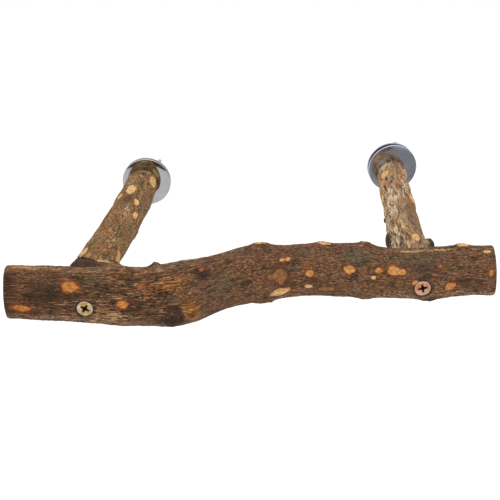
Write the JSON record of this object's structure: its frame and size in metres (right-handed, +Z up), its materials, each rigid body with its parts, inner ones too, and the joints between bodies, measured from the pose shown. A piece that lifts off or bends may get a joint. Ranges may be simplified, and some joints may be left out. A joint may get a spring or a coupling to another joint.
{
  "type": "bird perch",
  "caption": "Natural branch perch for a bird cage: a barked branch on short arms, with studs, wide washers and wing nuts that clamp a cage wall.",
  "frame": {"origin": "midway between the two studs, on the wall side of the front washers, where the cage wall's front face lies", "axes": "+X along the perch to the right seen from the front, +Y through the cage wall and away from the branch, +Z up"},
  "size_m": [0.306, 0.2158, 0.0544],
  "materials": {
    "branch_bark": "rough brown bark with pale pruned knots",
    "left_arm_bark": "fine olive-brown bark",
    "right_arm_bark": "flaky grey-beige bark",
    "yellow_zinc": "yellow zinc plated steel",
    "pink_zinc": "pale pinkish zinc plated steel",
    "stud_steel": "zinc plated thread",
    "washer_zinc": "bright polished zinc",
    "nut_zinc": "bright zinc plated casting"
  },
  "bodies": {
    "perch": {"main_branch": "branch_bark", "left_arm": "left_arm_bark", "right_arm": "right_arm_bark", "left_screw": "yellow_zinc", "right_screw": "pink_zinc", "left_stud": "stud_steel", "right_stud": "stud_steel"},
    "left_front": {"left_front_washer": "washer_zinc"},
    "right_front": {"right_front_washer": "washer_zinc"},
    "left_rear": {"left_rear_washer": "washer_zinc"},
    "right_rear": {"right_rear_washer": "washer_zinc"},
    "left_nut": {"left_wing_nut": "nut_zinc"},
    "right_nut": {"right_wing_nut": "nut_zinc"}
  },
  "joints": [
    {"name": "left_front_washer_spin", "type": "hinge", "parent": "perch", "child": "left_front", "pos_m": [-0.1032, 0, 0], "axis": [0, 1, 0], "continuous": true},
    {"name": "right_front_washer_spin", "type": "hinge", "parent": "perch", "child": "right_front", "pos_m": [0.1032, 0, 0], "axis": [0, 1, 0], "continuous": true},
    {"name": "left_rear_washer_slide", "type": "slide", "parent": "perch", "child": "left_rear", "axis": [0, 1, 0], "range_m": [-0.00201, 0.02451]},
    {"name": "right_rear_washer_slide", "type": "slide", "parent": "perch", "child": "right_rear", "axis": [0, 1, 0], "range_m": [-0.00491, 0.02161]},
    {"name": "left_nut_spin", "type": "hinge", "parent": "left_rear", "child": "left_nut", "pos_m": [-0.1032, 0, 0], "axis": [0, 1, 0], "range_deg": [-576, 7056]},
    {"name": "right_nut_spin", "type": "hinge", "parent": "right_rear", "child": "right_nut", "pos_m": [0.1032, 0, 0], "axis": [0, 1, 0], "range_deg": [-1411.2, 6220.8]}
  ],
  "couplings": [
    {"joint": "left_rear_washer_slide", "follows": "left_nut_spin", "m_per_rad": 0.00019894},
    {"joint": "right_rear_washer_slide", "follows": "right_nut_spin", "m_per_rad": 0.00019894}
  ]
}
